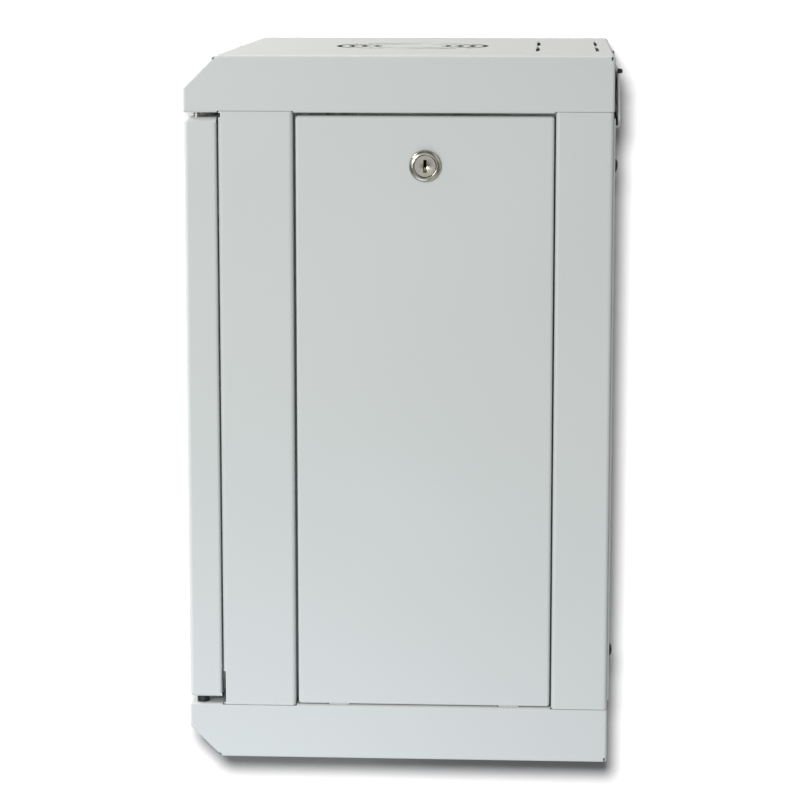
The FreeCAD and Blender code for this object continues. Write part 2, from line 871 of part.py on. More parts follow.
def door_frame():
    """Folded door pan with the window, the rear lips, and the holes for hinge and lock."""
    outer = door_box(0.0, door_corner_radius, door_edge_radius)
    inner = door_box(sheet, door_corner_radius - sheet, door_edge_radius - sheet)
    pan = outer.cut(inner)
    relief = block(door_side - door_corner_radius, half_width, door_back - door_rear_relief,
                   door_back + sheet, door_bottom - sheet, door_top + sheet)
    section = [
        (door_side, door_back - door_rear_fold),
        (door_side, door_back),
        (door_side - door_lip, door_back),
    ]
    lip = folded(section, "XY", door_bottom + door_corner_radius, door_top - door_corner_radius)
    frame = joined([pan.cut([relief, mirror_x(relief)]), lip, mirror_x(lip)])
    cuts = [window_slab(0.0, window_radius, door_front - sheet, door_front + 2 * sheet)]
    for z in (door_bottom, door_top):
        cuts.append(rod(hinge_pin_radius + hinge_play, (hinge_x, hinge_y, z - 2 * sheet),
                        (hinge_x, hinge_y, z + 2 * sheet)))
    cuts.append(in_door(lock_hole()))
    return frame.cut(cuts)


def door_glass():
    """Toughened pane behind the window, its edges ground."""
    start = door_front + sheet + gasket_thickness
    pane = window_slab(glass_overlap, glass_radius, start, start + glass_thickness)
    return pane


def glass_gasket():
    """Black strip between the door and the pane."""
    start = door_front + sheet
    outer = window_slab(glass_overlap, glass_radius, start, start + gasket_thickness)
    inner = window_slab(glass_overlap - gasket_width, window_radius, start - 1.0, start + gasket_thickness + 1.0)
    return outer.cut(inner)


def clip_places():
    """Centres of the clips along the upper and lower edge of the pane."""
    third = window_edge * 0.6
    return [(-third, 1), (0.0, 1), (third, 1), (-third, -1), (0.0, -1), (third, -1)]


def glass_clip(x, side):
    """Stepped clip from the door over the edge of the pane, drawn for the upper edge."""
    back = door_front + sheet
    step = gasket_thickness + glass_thickness
    edge = door_top - door_frame_height + glass_overlap
    section = [
        (back, edge + bend_inside + clip_thickness + clip_foot),
        (back, edge + bend_inside),
        (back + step, edge + bend_inside),
        (back + step, edge - clip_lap),
    ]
    clip = folded(section, "YZ", x - clip_width / 2.0, x + clip_width / 2.0, clip_thickness)
    if side < 0:
        clip = clip.mirror(FreeCAD.Vector(0, 0, (door_bottom + door_top) / 2.0), FreeCAD.Vector(0, 0, 1))
    return clip


def clip_screw_height(side):
    """Height of the clip screws at the upper or lower edge."""
    offset = (door_top - door_bottom) / 2.0 - door_frame_height + glass_overlap
    offset += 2 * bend_inside + clip_thickness + clip_foot / 2.0
    return (door_bottom + door_top) / 2.0 + side * offset


def clip_screws():
    """Small screws that hold the clips, in line with the foot of each."""
    back = door_front + sheet + clip_thickness
    head = pan_head(2.8, 1.8)
    return group([placed(head, (x, back, clip_screw_height(side)), (0, 1, 0)) for x, side in clip_places()])


def glass_clips():
    """Six clips that hold the pane to the door."""
    return group([glass_clip(x, side) for x, side in clip_places()])


def door_pads():
    """Two soft pads on the left post that the closed door rests on."""
    height = door_post_gap - seat_gap
    pad = turned([(0, 0), (pad_radius, 0), (pad_radius, height - pad_edge),
                  (pad_radius - pad_edge, height), (0, height)])
    heights = (door_bottom + pad_from_door_end, door_top - pad_from_door_end)
    return group([placed(pad, (-pad_x, front_post_front, z), (0, -1, 0)) for z in heights])


# Hinge

def lower_hinge_pin():
    """Pin riveted in the lower lip, up into the foot of the door."""
    length = pin_head_height + (door_bottom - lower_edge) + lower_pin_reach
    pin = turned([
        (0, 0),
        (pin_head_radius, 0),
        (pin_head_radius, pin_head_height),
        (hinge_pin_radius, pin_head_height),
        (hinge_pin_radius, length - pin_end_bevel),
        (hinge_pin_radius - pin_end_bevel, length),
        (0, length),
    ])
    return moved(pin, (hinge_x, hinge_y, lower_edge - pin_head_height), FreeCAD.Rotation())


def lower_hinge_bush():
    """Plastic bush round the pin, which carries the door."""
    start = (hinge_x, hinge_y, lower_edge + sheet)
    end = (hinge_x, hinge_y, door_bottom - hole_play)
    return rod(bush_radius, start, end).cut(rod(hinge_pin_radius + hinge_play, start, end))


def bracket_floor():
    """Height of the lower leg of the hinge bracket."""
    return door_top - sheet - hinge_bracket_drop


def upper_hinge_bracket():
    """Angle on the door that guides the lower end of the sprung pin."""
    front = door_front + sheet
    floor = bracket_floor()
    reach = hinge_y + hinge_bracket_reach
    section = [(front, floor + hinge_bracket_drop - 2.0), (front, floor), (reach, floor)]
    side = door_side - door_edge_radius - hole_play
    angle = folded(section, "YZ", side - hinge_bracket_width, side)
    return angle.cut(rod(hinge_pin_radius + hinge_play, (hinge_x, hinge_y, floor - sheet),
                         (hinge_x, hinge_y, floor + 2 * sheet)))


def upper_hinge_pin():
    """Sprung pin with its collar and pull knob, up through the door into the lip."""
    top = upper_edge + upper_pin_reach
    knob_top = top - upper_pin_length
    knob_low = knob_top - knob_height
    collar_low = bracket_floor() + sheet + spring_length
    pin = turned([
        (0, knob_low),
        (knob_radius - knob_edge, knob_low),
        (knob_radius, knob_low + knob_edge),
        (knob_radius, knob_top),
        (hinge_pin_radius, knob_top),
        (hinge_pin_radius, collar_low),
        (collar_radius, collar_low),
        (collar_radius, collar_low + collar_height),
        (hinge_pin_radius, collar_low + collar_height),
        (hinge_pin_radius, top - pin_end_bevel),
        (hinge_pin_radius - pin_end_bevel, top),
        (0, top),
    ])
    return moved(pin, (hinge_x, hinge_y, 0), FreeCAD.Rotation())


def hinge_spring():
    """Coil spring between the bracket and the collar."""
    start = bracket_floor() + sheet + spring_wire_radius
    length = spring_length - 2 * spring_wire_radius - 0.1
    helix = Part.makeHelix(length / spring_turns, length, spring_radius)
    helix.translate(FreeCAD.Vector(hinge_x, hinge_y, start))
    turns = [math.radians(60 * corner) for corner in range(7)]
    wire_x = hinge_x + spring_radius
    corners = [FreeCAD.Vector(wire_x + spring_wire_radius * math.cos(turn), hinge_y,
                              start + spring_wire_radius * math.sin(turn)) for turn in turns]
    ring = Part.Wire(Part.makePolygon(corners))
    return Part.Wire(helix).makePipeShell([ring], True, True)


# Side panels

def panel_box(inset, corner, edge):
    """Block of the right panel's size, pushed in all round, rounded at its face."""
    face = panel_face - inset
    box = block(panel_face - panel_depth, face, panel_front + inset, panel_back - inset,
                panel_bottom + inset, panel_top - inset)
    corners = []
    for z in (panel_bottom + inset, panel_top - inset):
        corners += edges_at(box, y=panel_front + inset, z=z) + edges_at(box, y=panel_back - inset, z=z)
    box = box.makeFillet(corner, corners)
    return box.makeFillet(edge, edges_at(box, x=face))


def side_panel():
    """Right panel: shallow folded pan with a lock hole and two tongues below."""
    outer = panel_box(0.0, panel_corner_radius, panel_edge_radius)
    inner = panel_box(sheet, panel_corner_radius - sheet, panel_edge_radius - sheet)
    parts = [outer.cut(inner)]
    tongue_face = flange_face - fit_gap
    for y in tongue_places():
        parts.append(block(tongue_face - sheet, tongue_face, y - tongue_width / 2.0, y + tongue_width / 2.0,
                           panel_bottom - tongue_length, panel_bottom + sheet))
    return joined(parts).cut(in_side(lock_hole()))


def panel_ledge():
    """Angle inside the lower flange, on which the tongues of the panel stand."""
    top = panel_bottom - tongue_length - seat_gap
    section = [(flange_face, top - ledge_height), (flange_face, top), (post_edge + fit_gap, top)]
    return folded(section, "XZ", front_post_back + fit_gap, rear_post_front - fit_gap)


def side_strike():
    """Stepped strap on the lip of the top cover, behind which the cam turns."""
    leg = side_cam_outer + fit_gap + sheet
    section = [
        (leg, upper_edge - strike_drop),
        (leg, upper_edge),
        (flange_face, upper_edge),
        (flange_face, upper_edge + strike_weld_height),
    ]
    return folded(section, "XZ", side_lock_y - strike_width / 2.0, side_lock_y + strike_width / 2.0)


# Rear panel and wall bracket

def rear_screw_x():
    """Distance of the rear panel's screws from the middle."""
    return half_width - rear_screw_from_side


def rear_screw_heights():
    """Heights of the rear panel's screws."""
    return (lower_edge + lower_screw_from_edge, upper_edge - upper_screw_from_edge)


def rear_panel():
    """Flat rear sheet with screw holes, wall holes and the slots for the bracket's hooks."""
    side = post_face - rear_panel_side_gap
    low = lower_edge + rear_panel_bottom_gap
    high = upper_edge - rear_panel_top_gap
    panel = block(-side, side, rear_post_back, rear_panel_back, low, high)
    cuts = []
    for side_sign in (-1, 1):
        x = side_sign * rear_screw_x()
        for z in rear_screw_heights():
            cuts.append(rod(rear_screw_shank + hole_play, (x, rear_post_back - sheet, z),
                            (x, rear_panel_back + sheet, z)))
        x = side_sign * wall_hole_span / 2.0
        cuts.append(rod(wall_hole_radius, (x, rear_post_back - sheet, wall_hole_height),
                        (x, rear_panel_back + sheet, wall_hole_height)))
        half = hook_width / 2.0 + 1.0
        slot_top = bracket_bottom + bracket_sheet + seat_gap
        cuts.append(block(x - half, x + half, rear_post_back - sheet, rear_panel_back + sheet,
                          bracket_bottom - hook_slot_drop, slot_top))
    return panel.cut(cuts)


def rear_panel_screws():
    """Black pan-head screws at the corners of the rear panel."""
    head = pan_head(rear_screw_radius, rear_screw_height)
    shank = rod(rear_screw_shank, (0, 0, 0.5), (0, 0, -2 * sheet - 2.0))
    screw = joined([head, shank])
    places = [(side * rear_screw_x(), z) for side in (-1, 1) for z in rear_screw_heights()]
    return group([placed(screw, (x, rear_panel_back, z), (0, 1, 0)) for x, z in places])


def wall_bracket():
    """Strip screwed to the wall, with two hooks through the rear panel."""
    outer_top = cover_rear + bracket_gap + bracket_sheet
    outer_bottom = outer_top + bracket_lean
    hook_y = rear_post_back - hook_behind_panel - bracket_sheet
    strip = folded([(rear_panel_back, bracket_bottom), (outer_bottom, bracket_bottom), (outer_top, bracket_top)],
                   "YZ", -bracket_end, bracket_end, bracket_sheet)
    parts = [strip]
    for x in (-wall_hole_span / 2.0, wall_hole_span / 2.0):
        section = [(hook_y, bracket_bottom + hook_rise), (hook_y, bracket_bottom),
                   (rear_panel_back + bracket_sheet / 2.0, bracket_bottom)]
        parts.append(folded(section, "YZ", x - hook_width / 2.0, x + hook_width / 2.0, bracket_sheet))
    bracket = joined(parts)
    holes = []
    for x in (-wall_hole_span / 2.0, wall_hole_span / 2.0):
        start = (x, cover_rear + sheet / 2.0, bracket_hole_height)
        end = (x, outer_bottom + bracket_sheet, bracket_hole_height)
        holes.append(rod(bracket_hole_radius, start, end))
    return bracket.cut(holes)


def bracket_buffer():
    """Two rubber blocks on the upper edge of the wall bracket, one at each end."""
    front = cover_rear + bracket_gap
    back = front + bracket_sheet + bracket_lean + buffer_reach
    strip = block(bracket_end - buffer_length, bracket_end, front, back, bracket_top, bracket_top + buffer_height)
    edges = edges_at(strip, y=back, z=bracket_top + buffer_height) + edges_at(strip, y=back, z=bracket_top)
    strip = strip.makeFillet(buffer_corner, edges)
    return group([strip, mirror_x(strip)])


# Files

def save(name, shape):
    """Write one piece to its file."""
    shape.exportStep("parts/" + name + ".step")


os.makedirs("parts", exist_ok=True)

save("top_cover", top_cover())
save("bottom_cover", bottom_cover())
save("rear_panel", rear_panel())
save("rear_panel_screws", rear_panel_screws())
save("wall_bracket", wall_bracket())
save("bracket_buffer", bracket_buffer())
save("frame_studs", frame_studs())
save("frame_nuts", frame_nuts())
save("door_pads", door_pads())
save("lower_hinge_pin", lower_hinge_pin())
save("lower_hinge_bush", lower_hinge_bush())

paired = {
    "front_post": front_post(),
    "rear_post": rear_post(),
    "upper_depth_bar": mirror_z(depth_bar()),
    "lower_depth_bar": depth_bar(),
    "rack_rail": rack_rail(),
    "rail_bolts": rail_bolts(),
    "rail_nuts": rail_nuts(),
    "side_panel": side_panel(),
    "panel_ledge": panel_ledge(),
    "side_strike": side_strike(),
    "side_lock_housing": in_side(lock_housing()),
    "side_lock_nut": in_side(lock_nut()),
    "side_lock_plug": in_side(lock_plug(side_stem)),
    "side_lock_cam": in_side(lock_cam(side_stem, side_cam_reach, 90)),
    "side_lock_screw": in_side(lock_screw(side_stem)),
}
for name, shape in paired.items():
    save(name + "_right", shape)
    save(name + "_left", mirror_x(shape))

save("door_frame", door_frame())
save("door_glass", door_glass())
save("glass_gasket", glass_gasket())
save("glass_clips", glass_clips())
save("clip_screws", clip_screws())
save("upper_hinge_bracket", upper_hinge_bracket())
save("upper_hinge_pin", upper_hinge_pin())
save("hinge_spring", hinge_spring())
save("door_lock_housing", in_door(lock_housing()))
save("door_lock_nut", in_door(lock_nut()))
save("door_lock_plug", in_door(lock_plug(door_stem)))
save("door_lock_cam", in_door(lock_cam(door_stem, door_cam_reach, 0)))
save("door_lock_screw", in_door(lock_screw(door_stem)))
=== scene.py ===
import json
import math

import bmesh
import bpy
from mathutils import Matrix, Vector


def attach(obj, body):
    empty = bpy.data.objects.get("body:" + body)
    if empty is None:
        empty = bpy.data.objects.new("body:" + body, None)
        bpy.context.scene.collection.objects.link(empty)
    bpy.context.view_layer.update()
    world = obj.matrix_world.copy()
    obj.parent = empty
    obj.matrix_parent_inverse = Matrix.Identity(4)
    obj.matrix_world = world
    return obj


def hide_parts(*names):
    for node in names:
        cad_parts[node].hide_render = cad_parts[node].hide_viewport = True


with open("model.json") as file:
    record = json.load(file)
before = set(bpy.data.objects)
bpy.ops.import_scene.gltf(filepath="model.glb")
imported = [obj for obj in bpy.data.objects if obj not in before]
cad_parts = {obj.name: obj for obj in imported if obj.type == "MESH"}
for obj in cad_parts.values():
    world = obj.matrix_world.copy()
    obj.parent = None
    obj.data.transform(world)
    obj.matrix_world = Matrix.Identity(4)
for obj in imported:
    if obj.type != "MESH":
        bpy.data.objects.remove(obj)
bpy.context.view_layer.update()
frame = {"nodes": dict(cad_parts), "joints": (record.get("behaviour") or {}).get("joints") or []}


# Camera. The photograph was taken with a long lens from the hinge side, a little above the
# cabinet and almost square to its right panel. The place and lens come from a fit to its corners.

viewpoint = Vector((2.0305, 0.10435, 0.5663))
look_direction = Vector((-0.98479, -0.05464, -0.16494))
camera_data = bpy.data.cameras.new("photo_lens")
camera_data.lens = 126.31
camera_data.sensor_width = 36.0
camera_data.clip_end = 200.0
camera = bpy.data.objects.new("photo_camera", camera_data)
camera.location = viewpoint
camera.rotation_euler = look_direction.to_track_quat("-Z", "Y").to_euler()
bpy.context.scene.collection.objects.link(camera)
bpy.context.scene.camera = camera
bpy.context.scene.view_settings.view_transform = "Standard"


# Studio. A packshot against white paper: a high box light in front, so that the slope is nearly
# white, a softer one on the camera's side, faint fills below and behind, and a flash beside the
# lens that lights only the paper and throws the cabinet's soft shadow on it, right and below.

def linear(hex_colour):
    """Linear RGBA from an sRGB hex colour."""
    parts = [int(hex_colour[i:i + 2], 16) / 255.0 for i in (0, 2, 4)]
    return [p / 12.92 if p <= 0.04045 else ((p + 0.055) / 1.055) ** 2.4 for p in parts] + [1.0]


def add(tree, kind, inputs=(), **settings):
    """Adds a node with its settings, and sets or links its inputs."""
    node = tree.nodes.new(kind)
    for name, value in settings.items():
        setattr(node, name, value)
    for socket, value in dict(inputs).items():
        if isinstance(value, bpy.types.NodeSocket):
            tree.links.new(value, node.inputs[socket])
        else:
            node.inputs[socket].default_value = value
    return node


# Paper, seen from its front only, in metres.
paper_distance = 2.30
paper_size = 0.70

backdrop_paper = bpy.data.materials.new("white_background_paper")
backdrop_paper.use_nodes = True
tree = backdrop_paper.node_tree
tree.nodes.clear()
paper = add(tree, "ShaderNodeBsdfDiffuse", {"Color": (0.18, 0.18, 0.18, 1.0)})
see_through = add(tree, "ShaderNodeBsdfTransparent")
side_seen = add(tree, "ShaderNodeNewGeometry")
mixed = add(tree, "ShaderNodeMixShader", {0: side_seen.outputs["Backfacing"], 1: paper.outputs[0],
                                          2: see_through.outputs[0]})
add(tree, "ShaderNodeOutputMaterial", {"Surface": mixed.outputs[0]})

backdrop_shape = bmesh.new()
bmesh.ops.create_grid(backdrop_shape, x_segments=1, y_segments=1, size=paper_size / 2.0)
facing_lens = look_direction.to_track_quat("-Z", "Y").to_matrix().to_4x4()
paper_middle = Matrix.Translation(viewpoint + look_direction * paper_distance)
bmesh.ops.transform(backdrop_shape, verts=backdrop_shape.verts, matrix=paper_middle @ facing_lens)
backdrop_mesh = bpy.data.meshes.new("studio_backdrop")
backdrop_shape.to_mesh(backdrop_mesh)
backdrop_shape.free()
backdrop = bpy.data.objects.new("studio_backdrop", backdrop_mesh)
bpy.context.scene.collection.objects.link(backdrop)
backdrop_mesh.materials.append(backdrop_paper)
backdrop.visible_diffuse = False
backdrop.visible_glossy = False
backdrop.visible_transmission = False
backdrop.visible_shadow = False

# Flash, in metres to the left of the lens and above it.
flash_offset = Vector((-0.029, 0.065, 0.0))
flash_data = bpy.data.lights.new("flash_beside_lens", "AREA")
flash_data.shape = "DISK"
flash_data.size = 0.09
flash_data.energy = 300.0
flash = bpy.data.objects.new("flash_beside_lens", flash_data)
flash.matrix_world = Matrix.Translation(viewpoint + facing_lens.to_3x3() @ flash_offset) @ facing_lens
bpy.context.scene.collection.objects.link(flash)
lit_by_flash = bpy.data.collections.new("lit_by_flash")
lit_by_flash.objects.link(backdrop)
flash.light_linking.receiver_collection = lit_by_flash

# The room gives soft light, cooler from below. Shiny surfaces reflect its walls, white with
# darker corners, and the lens sees plain white beyond the paper.
world = bpy.data.worlds.new("studio_surround")
bpy.context.scene.world = world
world.use_nodes = True
tree = world.node_tree
tree.nodes.clear()
rays = add(tree, "ShaderNodeLightPath")
around = add(tree, "ShaderNodeTexCoord")
height = add(tree, "ShaderNodeSeparateXYZ", {0: around.outputs["Generated"]})
up = add(tree, "ShaderNodeMapRange", {"Value": height.outputs["Z"], "From Min": -0.6, "From Max": 0.6})
room = add(tree, "ShaderNodeMix", {"Factor": up.outputs[0], "A": linear("f3f5f6"),
                                   "B": linear("dcd3d8")}, data_type="RGBA")
soft_light = add(tree, "ShaderNodeBackground", {"Color": room.outputs["Result"], "Strength": 0.52})
blotches = add(tree, "ShaderNodeTexNoise", {"Vector": around.outputs["Generated"], "Scale": 1.7,
                                            "Detail": 1.0})
dark_corner = add(tree, "ShaderNodeMapRange", {"Value": blotches.outputs["Fac"], "From Min": 0.42,
                                               "From Max": 0.58})
walls = add(tree, "ShaderNodeMix", {"Factor": dark_corner.outputs[0], "A": linear("7d7c6c"),
                                    "B": linear("f4f4f2")}, data_type="RGBA")
reflected = add(tree, "ShaderNodeBackground", {"Color": walls.outputs["Result"], "Strength": 1.0})
white = add(tree, "ShaderNodeBackground", {"Color": (1.0, 1.0, 1.0, 1.0), "Strength": 1.0})
direct = add(tree, "ShaderNodeMath", {0: rays.outputs["Is Camera Ray"],
                                      1: rays.outputs["Is Transmission Ray"]}, operation="MAXIMUM")
first = add(tree, "ShaderNodeMixShader", {0: rays.outputs["Is Glossy Ray"], 1: soft_light.outputs[0],
                                          2: reflected.outputs[0]})
mixed = add(tree, "ShaderNodeMixShader", {0: direct.outputs[0], 1: first.outputs[0],
                                          2: white.outputs[0]})
add(tree, "ShaderNodeOutputWorld", {"Surface": mixed.outputs[0]})

# Lamps: where each stands and aims, in metres, its width, its watts and its tint.
for name, stand, target, width, power, tint in (
    ("front_box", (-0.1, -1.60, 1.75), (0.0, 0.0, 0.35), 0.8, 49.0, (1.0, 1.0, 1.0)),
    ("camera_side_box", (2.3, -1.2, 0.95), (0.15, 0.0, 0.3), 0.6, 28.5, (0.985, 1.0, 0.985)),
    ("low_fill", (0.60, -0.15, -0.30), (0.16, 0.0, 0.0), 0.5, 1.6, (0.76, 0.87, 1.0)),
    ("rear_top_fill", (0.0, 0.75, 1.15), (0.0, 0.12, 0.48), 0.5, 0.7, (1.0, 0.96, 1.0)),
):
    lamp_data = bpy.data.lights.new(name, "AREA")
    lamp_data.size = width
    lamp_data.energy = power
    lamp_data.color = tint
    lamp = bpy.data.objects.new(name, lamp_data)
    lamp.location = stand
    lamp.rotation_euler = (Vector(target) - Vector(stand)).to_track_quat("-Z", "Y").to_euler()
    lamp.visible_camera = False
    bpy.context.scene.collection.objects.link(lamp)


# Covers, posts, panels, ledges and strikes. Cold-rolled steel sheet, laser cut and folded, then
# sprayed with light grey polyester powder and baked. The powder levels to a fine orange peel.

def new_material(name):
    """An empty material with a Principled shader on its output."""
    material = bpy.data.materials.new(name)
    material.use_nodes = True
    tree = material.node_tree
    tree.nodes.clear()
    shader = add(tree, "ShaderNodeBsdfPrincipled")
    add(tree, "ShaderNodeOutputMaterial", {"Surface": shader.outputs[0]})
    return material, tree, shader


def link(tree, output, shader, socket):
    """Joins a node's output to the shader."""
    tree.links.new(output, shader.inputs[socket])


def per_metre(millimetres):
    """Texture scale that gives features of this size."""
    return 1000.0 / millimetres


# Polyester powder coat: a dielectric film of about 70 microns. The peel is 1 mm across in the real
# coat and is drawn at 2.2 mm so that it shows, and the sheet under it is flat to a few tenths.
powder_coat, tree, shader = new_material("light_grey_polyester_powder_coat")
shader.inputs["IOR"].default_value = 1.5
spot = add(tree, "ShaderNodeTexCoord")
patches = add(tree, "ShaderNodeTexNoise", {"Vector": spot.outputs["Object"], "Scale": per_metre(140.0),
                                           "Detail": 2.0, "Roughness": 0.4})
tint = add(tree, "ShaderNodeMix", {"Factor": patches.outputs["Fac"], "A": linear("cdd2cd"),
                                   "B": linear("d3d6d4")}, data_type="RGBA")
link(tree, tint.outputs["Result"], shader, "Base Color")
peel = add(tree, "ShaderNodeTexNoise", {"Vector": spot.outputs["Object"], "Scale": per_metre(2.2),
                                        "Detail": 3.0, "Roughness": 0.55})
gloss = add(tree, "ShaderNodeMapRange", {"Value": peel.outputs["Fac"], "From Min": 0.3, "From Max": 0.7,
                                         "To Min": 0.40, "To Max": 0.52})
link(tree, gloss.outputs[0], shader, "Roughness")
ripple = add(tree, "ShaderNodeTexNoise", {"Vector": spot.outputs["Object"], "Scale": per_metre(190.0),
                                          "Detail": 1.0})
flatness = add(tree, "ShaderNodeBump", {"Height": ripple.outputs["Fac"], "Strength": 1.0,
                                        "Distance": 0.0008})
surface = add(tree, "ShaderNodeBump", {"Height": peel.outputs["Fac"], "Strength": 0.5,
                                       "Distance": 0.00006, "Normal": flatness.outputs[0]})
link(tree, surface.outputs[0], shader, "Normal")

nodes = frame["nodes"]


def finish(material, *names):
    """Gives CAD nodes their material."""
    for name in names:
        node = nodes[name]
        if not node.material_slots:
            node.data.materials.append(None)
        for material_slot in node.material_slots:
            material_slot.material = material


def both(*names):
    """Names of the pieces on the right and left."""
    return [name + side for name in names for side in ("_right", "_left")]


finish(powder_coat, "bottom_cover", "wall_bracket", "door_frame")
finish(powder_coat, *both("front_post", "rear_post", "side_panel", "panel_ledge", "side_strike"))


# Top cover and rear panel. The walls of the grille's slots and the panel's rim are painted darker
# and made less shiny: painted shade, which stands in for the shade that falls on these cut walls.

def coat_with_painted_shade_on_walls(name, direction, shade_colour, middle, reach):
    """Powder coat painted darker and made less shiny, as painted shade, on walls which face along a
    direction, within reach of a place.
    """
    coat = powder_coat.copy()
    coat.name = name
    tree = coat.node_tree
    shader = next(node for node in tree.nodes if node.type == "BSDF_PRINCIPLED")
    facing = add(tree, "ShaderNodeNewGeometry")
    along = add(tree, "ShaderNodeVectorMath", {0: facing.outputs["True Normal"], 1: direction},
                operation="DOT_PRODUCT")
    squarely = add(tree, "ShaderNodeMath", {0: along.outputs["Value"]}, operation="ABSOLUTE")
    wall = add(tree, "ShaderNodeMapRange", {"Value": squarely.outputs[0], "From Min": 0.35,
                                            "From Max": 0.75})
    spot = add(tree, "ShaderNodeTexCoord")
    away = add(tree, "ShaderNodeVectorMath", {0: spot.outputs["Object"], 1: middle},
               operation="DISTANCE")
    near = add(tree, "ShaderNodeMath", {0: away.outputs["Value"], 1: reach}, operation="LESS_THAN")
    # Mask of the painted shade: walls that face along the direction, near the middle.
    painted_shade = add(tree, "ShaderNodeMath", {0: wall.outputs[0], 1: near.outputs[0]}, operation="MULTIPLY")
    coat_colour = shader.inputs["Base Color"].links[0].from_socket
    # Where the mask holds, the coat's colour gives way to the painted shade colour.
    tint = add(tree, "ShaderNodeMix", {"Factor": painted_shade.outputs[0], "A": coat_colour,
                                       "B": linear(shade_colour)}, data_type="RGBA")
    link(tree, tint.outputs["Result"], shader, "Base Color")
    sheen = add(tree, "ShaderNodeMapRange", {"Value": painted_shade.outputs[0], "To Min": 0.5, "To Max": 0.05})
    link(tree, sheen.outputs[0], shader, "Specular IOR Level")
    return coat


# The grille's middle on the top plate and its half width, in metres.
grille_middle = (0.0, 0.003, 0.484)
grille_reach = 0.062
# The slot walls are painted near black: painted shade in the grille's slots.
slot_shaded_coat = coat_with_painted_shade_on_walls("powder_coat_painted_shade_in_grille_slots", (0.0, 1.0, 0.0), "2c2d2c",
                                   grille_middle, grille_reach)
finish(slot_shaded_coat, "top_cover")

# The rear panel's middle, and a reach that takes in the whole panel.
panel_middle = (0.0, 0.144, 0.24)
panel_reach = 0.5
# The panel's rim is painted a darker grey: painted shade on the rim.
rim_shaded_coat = coat_with_painted_shade_on_walls("powder_coat_painted_shade_on_panel_rim", (1.0, 0.0, 0.0), "a3a6a4",
                                  panel_middle, panel_reach)
finish(rim_shaded_coat, "rear_panel")


# Rack rails, depth bars and their hardware. Steel strip and standard fasteners, electroplated with
# zinc and clear passivated, which leaves a dull bluish metal with faint cloudy patches.

def mottled(name, grain, detail, dark, light, smooth, rough, coarseness=0.5, spread=(0.0, 1.0)):
    """Material whose colour and roughness wander together, in a grain given in millimetres."""
    material, tree, shader = new_material(name)
    spot = add(tree, "ShaderNodeTexCoord")
    mottle = add(tree, "ShaderNodeTexNoise", {"Vector": spot.outputs["Object"], "Scale": per_metre(grain),
                                              "Detail": detail, "Roughness": coarseness})
    tint = add(tree, "ShaderNodeMix", {"Factor": mottle.outputs["Fac"], "A": linear(dark),
                                       "B": linear(light)}, data_type="RGBA")
    link(tree, tint.outputs["Result"], shader, "Base Color")
    gloss = add(tree, "ShaderNodeMapRange", {"Value": mottle.outputs["Fac"], "From Min": spread[0],
                                             "From Max": spread[1], "To Min": smooth, "To Max": rough})
    link(tree, gloss.outputs[0], shader, "Roughness")
    return material, shader


# Zinc plate: clouds 9 mm across over a satin grain, which is finer than a tenth of a millimetre
# in the real plate and is drawn at 0.8 mm so that it shows.
zinc, shader = mottled("clear_passivated_zinc_plate", grain=9.0, detail=4.0, dark="a9adb0",
                       light="c4c7c8", smooth=0.34, rough=0.50, coarseness=0.6, spread=(0.3, 0.7))
shader.inputs["Metallic"].default_value = 1.0
tree = zinc.node_tree
spot = add(tree, "ShaderNodeTexCoord")
satin = add(tree, "ShaderNodeTexNoise", {"Vector": spot.outputs["Object"], "Scale": per_metre(0.8),
                                         "Detail": 2.0})
surface = add(tree, "ShaderNodeBump", {"Height": satin.outputs["Fac"], "Strength": 0.3,
                                       "Distance": 0.00003})
link(tree, surface.outputs[0], shader, "Normal")

finish(zinc, "frame_studs", "frame_nuts", "glass_clips", "clip_screws", "upper_hinge_bracket",
       "lower_hinge_pin", "door_lock_nut", "door_lock_cam", "door_lock_screw")
finish(zinc, *both("upper_depth_bar", "lower_depth_bar", "rack_rail", "rail_bolts", "rail_nuts",
                   "side_lock_nut", "side_lock_cam", "side_lock_screw"))


# Hinge pin and spring. Free-cutting steel, turned and left bright, so fine rings run round the
# pin. The spring is drawn wire of the same brightness.

# The tool's marks are a tenth of a millimetre apart and are drawn at 1.184 mm so that they show. A
# wave texture runs through 20 radians in each unit of its scale.
mark_spacing = 1.184
radians_in_unit = 20.0
bright_steel, tree, shader = new_material("bright_turned_steel")
shader.inputs["Metallic"].default_value = 1.0
spot = add(tree, "ShaderNodeTexCoord")
rings = add(tree, "ShaderNodeTexWave", {"Vector": spot.outputs["Object"], "Distortion": 0.4, "Detail": 2.0,
                                        "Scale": per_metre(mark_spacing) * math.tau / radians_in_unit},
            bands_direction="Z")
tint = add(tree, "ShaderNodeMix", {"Factor": rings.outputs["Fac"], "A": linear("c2c3c3"),
                                   "B": linear("d6d6d4")}, data_type="RGBA")
link(tree, tint.outputs["Result"], shader, "Base Color")
gloss = add(tree, "ShaderNodeMapRange", {"Value": rings.outputs["Fac"], "To Min": 0.16, "To Max": 0.28})
link(tree, gloss.outputs[0], shader, "Roughness")
surface = add(tree, "ShaderNodeBump", {"Height": rings.outputs["Fac"], "Strength": 0.3,
                                       "Distance": 0.00002})
link(tree, surface.outputs[0], shader, "Normal")

finish(bright_steel, "upper_hinge_pin", "hinge_spring")


# Cam locks, one in the door and one in each side panel. A turned zinc housing with a bevelled rim and
# two flats on its barrel, held by the nut behind the sheet, and in it the plug with its keyway and
# brass tumblers. Housing and plug are polished and chrome plated.

